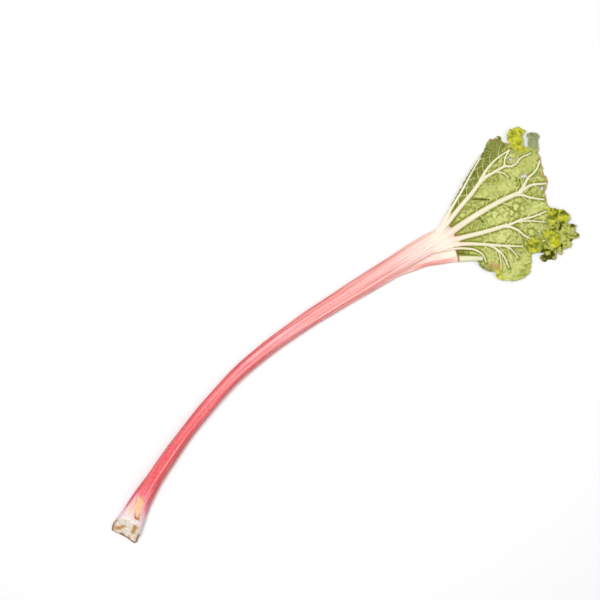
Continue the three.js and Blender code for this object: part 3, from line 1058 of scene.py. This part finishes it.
def creaseLines(flat, scale, seed, width):
    # long creases of even width that wander over the leaf, each along the zero of a smooth noise
    field = lambda p: roughness(p, scale, seed) + 0.3 * roughness(p, scale * 3.3, seed + 2)
    level, reach = field(flat), 0.3
    steep = np.hypot(field(flat + [reach, 0, 0]) - level, field(flat + [0, reach, 0]) - level) / reach
    line = np.exp(-((level / (steep * width + 1e-6)) ** 2)) * smoothstep(0.3 * scale, 0.8 * scale, steep)
    return line * smoothstep(-0.1, 0.2, roughness(flat, 0.06, seed + 9))


def bladeHeights(points, ring):
    # heights of the leaf's upper side and how far each point stands over its surroundings
    index, away = nearestFlat(ribPoints, points)
    half, run = ribHalves[index], ribRun[index]
    clear = np.maximum(away - half, 0)
    flat = np.column_stack([points, np.zeros(len(points))])
    x, y = points.T
    level = leafLevel(x, y)
    sag = blade["sag"] * (1 - bell(clear, 0, blade["sagWidth"]))
    pull = [2.6 * roughness(flat, 0.11, seed) + 1.0 * roughness(flat, 0.4, seed) for seed in (2.0, 7.0)]
    border = cellPattern(points + np.column_stack(pull))
    puffed = blade["puff"] * smoothstep(-0.6, 3.2, border)
    # folds that run from rib to rib like the rungs of a ladder
    wander = roughness(flat, 0.16, 12.0)
    rung = np.abs(np.sin(np.pi * ((run - 0.45 * clear) / blade["ladder"] + 1.1 * wander)))
    rungShare = smoothstep(-0.25, 0.25, roughness(flat, 0.05, 21.0))
    fold = blade["ladderPuff"] * rung**0.6 * rungShare
    crease = np.maximum(0.3 * creaseLines(flat, 0.075, 31.0, 0.6), 0.2 * creaseLines(flat, 0.12, 51.0, 0.5))
    for i, route in enumerate(blade["gashes"]):
        wide = blade["gashWidth"] * (1 if i == 0 else 0.7)  # the first is the widest
        crease = np.maximum(crease, bell(nearestFlat(smoothRoute(route, 0.3), points)[1], 0, wide))
    offRib = smoothstep(0.3, 2.2, clear)
    detail = (puffed * (1 - 0.5 * rungShare) + fold - blade["creaseDepth"] * crease) * offRib
    ringIndex, rim = nearestFlat(ring, points)
    wave = np.sin(ringIndex * 0.6) + 0.5 * np.sin(ringIndex * 1.37 + 1)
    ruffle = blade["rimWave"] * np.exp(-rim / blade["rimWidth"]) * wave
    ruffle *= np.maximum(smoothstep(366, 385, x), 0.8 * (y < 36)) * (1 - 0.95 * bell(clear, 0, 2.2))
    crinkle = 0.3 * roughness(flat, 0.7, 1.0) + 0.2 * roughness(flat, 1.5, 4.0)
    height = level - sag + detail + ruffle + crinkle * offRib
    # the field beyond the forked rib falls away to its far edge
    slope = smoothstep(0, 12, (y - 86) - 0.35 * (x - 400)) * smoothstep(375, 400, x)
    height -= 1.2 * slope * offRib
    # how high each point stands over its surroundings, used to paint the crests paler (painted highlight) and
    # the hollows darker (painted shade)
    raised = smoothstep(-0.4, 1.0, detail / (blade["puff"] * 1.4) + crinkle)
    lowest = blade["thickness"] + 0.05
    height = np.where(height < lowest + 0.6, lowest + 0.6 * np.exp((height - lowest - 0.6) / 0.6), height)
    return height, clear, border, rim, crease * offRib, raised, slope


maskNames = ("net", "olive", "yellow", "dry", "deep", "raised", "shaded", "grey", "amber")


def storeLeafMasks(holder, **masks):
    none = np.zeros(len(holder.data.vertices))
    storeNumbers(holder, **{name: np.clip(masks.get(name, none), 0, 1) for name in maskNames})


def makeBlade():
    flat, faces, ring = bladeSheet()
    print("blade has", len(flat), "points")
    height, clear, field, rim, crease, raised, slope = bladeHeights(flat, ring)
    holder = meshObject("rhubarb_leaf", corner + np.column_stack([flat, height]) * mm, faces, leafMaterial)
    built = bmesh.new()
    built.from_mesh(holder.data)
    bmesh.ops.recalc_face_normals(built, faces=built.faces[:])
    if sum(f.normal.z for f in built.faces) < 0:
        bmesh.ops.reverse_faces(built, faces=built.faces[:])
    built.to_mesh(holder.data)
    built.free()
    x, y = flat.T
    away = np.hypot(x - leaf["neck"][0], y - leaf["neck"][1])
    trimmed = (y > 30) * (x > 425)
    darkEdge = bell(nearestFlat(smoothRoute(blade["darkEdge"], 1.0), flat)[1], 0, 2.6)
    patchy = 0.35 + 0.8 * roughness(np.column_stack([flat, 0 * away]), 0.22, 15.0)
    scorched = bell(nearestFlat(np.array(blade["scorches"]), flat)[1], 0, 2.5)
    yellowed = bell(nearestFlat(smoothRoute(blade["yellowed"], 1.0), flat)[1], 0, 2.0)
    backShade = smoothstep(0, 2.5, y - np.interp(x, *zip(*blade["backField"])))
    net = (1 - smoothstep(0.08, 0.45, field)) * smoothstep(0.2, 1.0, clear) * (1 - crease)
    # painted shade: darker olive beside the ribs and in the hollows between the puffed fields; the spot near
    # the neck is olive tissue
    besideRibs = 1.1 * np.exp(-clear / 1.3) * (0.4 + 0.6 * np.exp(-away / 30))
    valleys = patchy * (1 - smoothstep(0.0, 0.65, raised))
    yellowRim = 0.8 * np.exp(-rim / 2.0) * smoothstep(60, 75, away) * (y < 40)
    storeLeafMasks(
        holder,
        net=net,
        olive=besideRibs + valleys + 0.7 * bell(np.hypot(x - 356, y - 47), 0, 5),
        yellow=yellowRim + 0.9 * yellowed,
        dry=np.exp(-rim / 0.5) * trimmed + 0.9 * scorched,
        # painted shadow: dark in the gashes and creases and in the gap beside the tube
        deep=0.95 * crease + 0.7 * bell(np.hypot(x - 357, y - 51.5), 0, 2.4),
        raised=raised,
        shaded=np.maximum(slope, backShade) * (1 - 0.5 * bell(clear, 0, 1)) + 0.9 * darkEdge,
        amber=amberMask(flat),
    )
    return thickened(holder, "rhubarb_leaf", blade["thickness"], -1)


bladePiece = makeBlade()
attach(bladePiece, "root")
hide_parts("leaf_blade")
print("blade made")


# ruffled lobes of the leaf's edge: each is a sheet through lines of points with heights in mm,
# crumpled more and more towards its far line
frillThickness = 0.35  # mm
frills = {
    "far": {"lines": [[(431.5, 40, 4), (427, 33, 4), (423, 27, 4)],
                      [(434, 35.5, 5.5), (432, 29, 6), (430, 22, 5)],
                      [(438.3, 31.7, 6.5), (436.5, 26, 7), (436, 19, 5)],
                      [(442.4, 29.2, 5.5), (442.6, 24, 6), (440.7, 19.5, 4)]],
            "grid": (70, 90), "crumple": [(0.16, 2.2), (0.36, 1.3), (0.8, 0.5)],
            "heights": (1.5, 9.5), "yellow": 0.85, "deep": 0.8, "seed": 3},
    "outer": {"lines": [[(430, 31, 3.5), (427, 24, 3.5), (421, 19.5, 3.5), (413, 16.5, 3.5), (405, 16, 3.5)],
                        [(436, 21, 4), (433.5, 14, 4), (426, 9.5, 4), (417, 10.5, 4), (408.5, 13, 4)],
                        [(438, 18, 3.5), (442.4, 15.6, 4), (442, 12.4, 4), (440.5, 10.5, 3),
                         (439.8, 5.2, 3.5), (434.6, 6.4, 2), (433.5, 3.4, 3), (428.7, 0.9, 3),
                         (425.4, 2.4, 2), (420.7, 1.2, 3), (419.1, 5.6, 2), (415.9, 3.5, 3),
                         (412.9, 1, 3), (410.7, 3.1, 2), (407.4, 3, 3), (406.4, 7, 3), (409, 10.2, 2),
                         (406.5, 13.2, 3)]],
              "grid": (80, 270), "crumple": [(0.19, 2.8), (0.42, 2.0), (0.95, 0.8)],
              "heights": (0.6, 9.5), "yellow": 0.2, "deep": 1.25, "seed": 5},
    "ridge": {"lines": [[(417, 24, 4.5), (416, 17, 4.5), (415, 9, 4)],
                        [(420.5, 23.5, 8), (421, 15, 8.5), (421, 8.5, 7)],
                        [(424.5, 21.5, 6), (426.5, 15, 6.5), (425.5, 9, 5)]],
              "grid": (60, 100), "crumple": [(0.16, 2.2), (0.36, 1.4), (0.8, 0.5)],
              "heights": (4, 10.5), "yellow": 1.0, "deep": 0.25, "seed": 7},
    "fold": {"lines": [[(414, 19, 4.5), (410, 13.5, 4), (407.5, 12, 3.5)],
                       [(409.5, 23.5, 7.5), (405.5, 18, 7.5), (404.5, 14, 6)],
                       [(404.5, 27, 5.5), (400.8, 21.5, 5.5), (401, 15, 4.5)]],
             "grid": (60, 90), "crumple": [(0.16, 2.0), (0.36, 1.3), (0.8, 0.5)],
             "heights": (3.6, 10), "yellow": 0.9, "deep": 0.4, "seed": 8},
    "upper": {"lines": [[(436.2, 87.6, 4.6), (438, 84.4, 5), (441.6, 82.9, 5.2), (445.5, 82.4, 5),
                         (449, 81.8, 4.6)],
                        [(436.4, 92.3, 5.5), (440, 89.5, 6.5), (444.4, 88.2, 5.5)],
                        [(436.8, 97.5, 5), (441, 95.5, 6.5), (446, 93, 5)],
                        [(438.6, 103.6, 4.5), (442.6, 105.9, 5), (447, 105, 5.5), (450.2, 103.2, 5),
                         (453, 98.3, 4)]],
              "grid": (80, 80), "crumple": [(0.19, 1.3), (0.42, 1.1), (1.0, 0.5)],
              "heights": (3.4, 8.5), "yellow": 0.95, "deep": 0.22, "seed": 9},
    "hook": {"lines": [[(429.3, 103.6, 3.5), (432.8, 103, 3.5)], [(431.6, 105.4, 4.4), (433.9, 105.2, 4)],
                       [(431.2, 107.6, 4), (432.6, 107.8, 4)]],
             "grid": (24, 12), "crumple": [(0.4, 0.6)],
             "heights": (3, 6), "yellow": 0.05, "deep": 1.0, "seed": 13},
    "tip": {"lines": [[(447.8, 81.8, 4), (451, 81.6, 4.4), (454, 82.2, 4)],
                      [(448.3, 87, 3.8), (451.8, 86.2, 4.6), (455.2, 84.4, 3.8)],
                      [(451, 92, 3.6), (454.5, 90, 4.4), (457, 87, 3.6)],
                      [(452.6, 95.3, 3.2), (457.6, 93.4, 3.8), (460.7, 88.2, 3)]],
            "grid": (60, 50), "crumple": [(0.15, 0.8), (0.5, 0.8), (1.0, 0.35)],
            "heights": (1.5, 6), "yellow": 0.0, "deep": 0.5, "seed": 11},
}


def evenly(line, count):
    return np.column_stack([np.interp(np.linspace(0, 1, count), np.linspace(0, 1, len(line)), line[:, i])
                            for i in range(3)])


def crumpledSheet(look):
    rows, columns = look["grid"]
    lines = [evenly(smoothRoute(line, 0.2), columns) for line in look["lines"]]
    grid = np.stack([evenly(smoothRoute(across, 0.3), rows) for across in np.stack(lines, axis=1)], axis=1)
    shift = np.zeros_like(grid)
    for scale, size in look["crumple"]:
        moves = [roughness(grid.reshape(-1, 3), scale, look["seed"] + 17 * i) for i in range(3)]
        shift += size * np.stack(moves, axis=1).reshape(grid.shape)
    reach = np.linspace(0, 1, rows)[:, None]
    shift *= smoothstep(0, 0.4, reach)[..., None]
    grid += shift
    grid[..., 2] = np.clip(grid[..., 2], *look["heights"])
    return grid, shift[..., 2], reach


def makeFrill(name, look):
    grid, stand, reach = crumpledSheet(look)
    rows, columns = grid.shape[:2]
    points = grid.reshape(-1, 3)
    holder = meshObject(name, corner + points * mm, gridFaces(rows, columns), leafMaterial)
    stand = stand.ravel()
    reach = np.repeat(reach[:, 0], columns)
    grain = roughness(points, 0.45, look["seed"])
    # the pale crests are painted light, and the olive and deep colours in the hollows are painted shade
    storeLeafMasks(
        holder,
        raised=smoothstep(-0.8, 0.8, stand),
        yellow=look["yellow"] * smoothstep(0.0, 0.3, reach) * smoothstep(-1.2, 0.4, stand + grain),
        olive=look["deep"] * (0.3 + 0.7 * (1 - smoothstep(-0.7, 0.5, stand + 0.5 * grain))),
        deep=0.9 * look["deep"] * (1 - smoothstep(-1.0, 0.1, stand + 0.8 * grain)),
        grey=np.full(len(points), 0.85 if look["yellow"] == 0 else 0.0),
        dry=0.3 * smoothstep(0.95, 1.0, reach),
    )
    return thickened(holder, name, frillThickness)


frillPiece = joined("leaf_frills", [makeFrill("frill_" + name, look) for name, look in frills.items()])
frillPiece.data.materials.clear()
frillPiece.data.materials.append(leafMaterial)
smoothShading(frillPiece)
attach(frillPiece, "root")
print("frills made")


# side veins on the blade
veins = {
    "gap": 8.0,            # mm between side veins on one side of a rib
    "angle": 52.0,         # degrees off the rib
    "length": 13.0,
    "half": (0.34, 0.12),
    "step": 0.7,
    "lift": 0.02,          # mm over the blade
}


def bladeTop(points):
    # heights of the finished blade under the given places
    top = (coordinates(bladePiece) - corner) / mm
    upper = top[:len(top) // 2]
    index, _ = nearestFlat(upper, points)
    return upper[index, 2]


def veinLines():
    ring, _ = closedOutline(blade["outline"], blade["outlineStep"])
    lines = []
    for name, (line, half) in ribLines.items():
        ahead = headings(line)
        for side in (-1, 1):
            place = rng.uniform(0.3, 0.9) * veins["gap"]
            while place < leaf["ribStep"] * (len(line) - 1):
                start = int(place / leaf["ribStep"])
                place += veins["gap"] * rng.uniform(0.75, 1.3)
                if line[start, 0] < leaf["neck"][0] + 22:
                    continue
                heading = math.atan2(ahead[start, 1], ahead[start, 0]) + side * math.radians(veins["angle"])
                bend = -side * rng.uniform(0.012, 0.03)
                spot, trail = line[start, :2].copy(), []
                for i in range(int(veins["length"] * rng.uniform(0.6, 1.1) / veins["step"])):
                    trail.append(spot.copy())
                    heading += bend + rng.normal(0, 0.05)
                    spot = spot + veins["step"] * np.array([math.cos(heading), math.sin(heading)])
                    gap = np.hypot(*(ribPoints[:, :2] - spot).T)
                    if i > 4 and gap.min() < 0.8:
                        break
                trail = np.array(trail)
                if len(trail) > 5 and insideOf(ring, trail).all():
                    lines.append(trail)
    return lines


def makeVeins():
    lines = veinLines()
    every = np.vstack(lines)
    heights = bladeTop(every)
    done, start = [], 0
    for line in lines:
        z = heights[start:start + len(line)]
        z = np.convolve(np.pad(z, 2, mode="edge"), np.ones(5) / 5, mode="valid")
        start += len(line)
        half = np.linspace(*veins["half"], len(line))
        done.append((corner + np.column_stack([line, z + veins["lift"]]) * mm, half * mm))
    holder = strands("leaf_veins", done, 1.0, 6, veinMaterial)
    smoothShading(holder)
    print("leaf has", len(lines), "side veins")
    return holder


veinPiece = makeVeins()
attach(veinPiece, "root")
print("veins made")


# dry sheath scrap at the base
sheath = {
    "places": (0.062, 0.108),   # part of the petiole's length
    "edges": (98.0, 66.0),      # its left edge at both ends, degrees up from the petiole's left side
    "right": 120.0,             # its right edge
    "grid": (70, 46),
    "thickness": 0.22,
    "clear": 0.5,
    "curl": 0.9,
}


def makeSheath():
    rows, columns = sheath["grid"]
    u = np.repeat(np.linspace(0, 1, rows), columns)
    v = np.tile(np.linspace(0, 1, columns), rows)
    ragged = 0.06 * np.sin(v * 19) + 0.04 * np.sin(v * 43 + 1)
    place = sheath["places"][0] + (sheath["places"][1] - sheath["places"][0]) * (u * (1 + ragged * u))
    torn = 0.08 * np.sin(u * 23 + 0.5) + 0.05 * np.sin(u * 51)
    left = sheath["edges"][0] + (sheath["edges"][1] - sheath["edges"][0]) * u
    degrees = left + (sheath["right"] - left) * v * (1 - 0.3 * u) * (1 + 0.8 * torn * v)
    index = np.clip(np.round(place * (len(petioleLine) - 1)).astype(int), 0, len(petioleLine) - 2)
    part = place * (len(petioleLine) - 1) - index
    curl = sheath["curl"] * ((2 * u - 1) ** 6 * (u > 0.5) + 0.7 * v**6)
    proud = sheath["clear"] + curl + 0.25 * np.sin(u * 9 + v * 5)
    points = petiolePoint(index, degrees, 1.0, proud)
    points[:, :2] += petioleAhead[index] * (part * petiole["step"])[:, None]
    holder = meshObject("base_sheath", corner + points * mm, gridFaces(rows, columns), sheathMaterial)
    storeVector(holder, "straight", np.column_stack([place * petioleLength, degrees * 0.12, u * 0]))
    storeNumbers(holder, low=1 - smoothstep(0.05, 0.4, u))
    return thickened(holder, "base_sheath_scrap", sheath["thickness"])


sheathPiece = makeSheath()
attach(sheathPiece, "root")
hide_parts("base_sheath")
print("sheath made")


# table and light
studio = {
    "table": 3.0,          # metres from its middle to its edge
    "world": 0.46,
    # place and size in metres, power in watts
    "lamps": {"key": ((-0.1, 0.24, 1.05), 0.4, 7.9), "fill": ((0.5, -0.3, 1.1), 0.9, 3.0)},
}


def makeTable(size):
    holder = meshObject("table", [(-size, -size, 0), (size, -size, 0), (size, size, 0), (-size, size, 0)],
                        [(0, 1, 2, 3)])
    look = {"Base Color": (0.86, 0.86, 0.86, 1), "Roughness": 0.7, "Specular IOR Level": 0.2}
    holder.data.materials.append(Shades("tableTop").finish(look))


def makeLight(name, place, size, power, aim=(0, 0, 0)):
    lamp = bpy.data.lights.new(name, "AREA")
    lamp.shape = "DISK"
    lamp.size = size
    lamp.energy = power
    holder = bpy.data.objects.new(name, lamp)
    holder.location = place
    holder.rotation_euler = (Vector(aim) - Vector(place)).to_track_quat("-Z", "Y").to_euler()
    scene.collection.objects.link(holder)


def makeWorld(strength):
    world = bpy.data.worlds.new("studio")
    world.use_nodes = True
    world.node_tree.nodes["Background"].inputs["Color"].default_value = (1, 1, 1, 1)
    world.node_tree.nodes["Background"].inputs["Strength"].default_value = strength
    scene.world = world


makeTable(studio["table"])
makeWorld(studio["world"])
for name, lamp in studio["lamps"].items():
    makeLight(name, *lamp)
scene.view_settings.view_transform = "Standard"
print("table and light made")
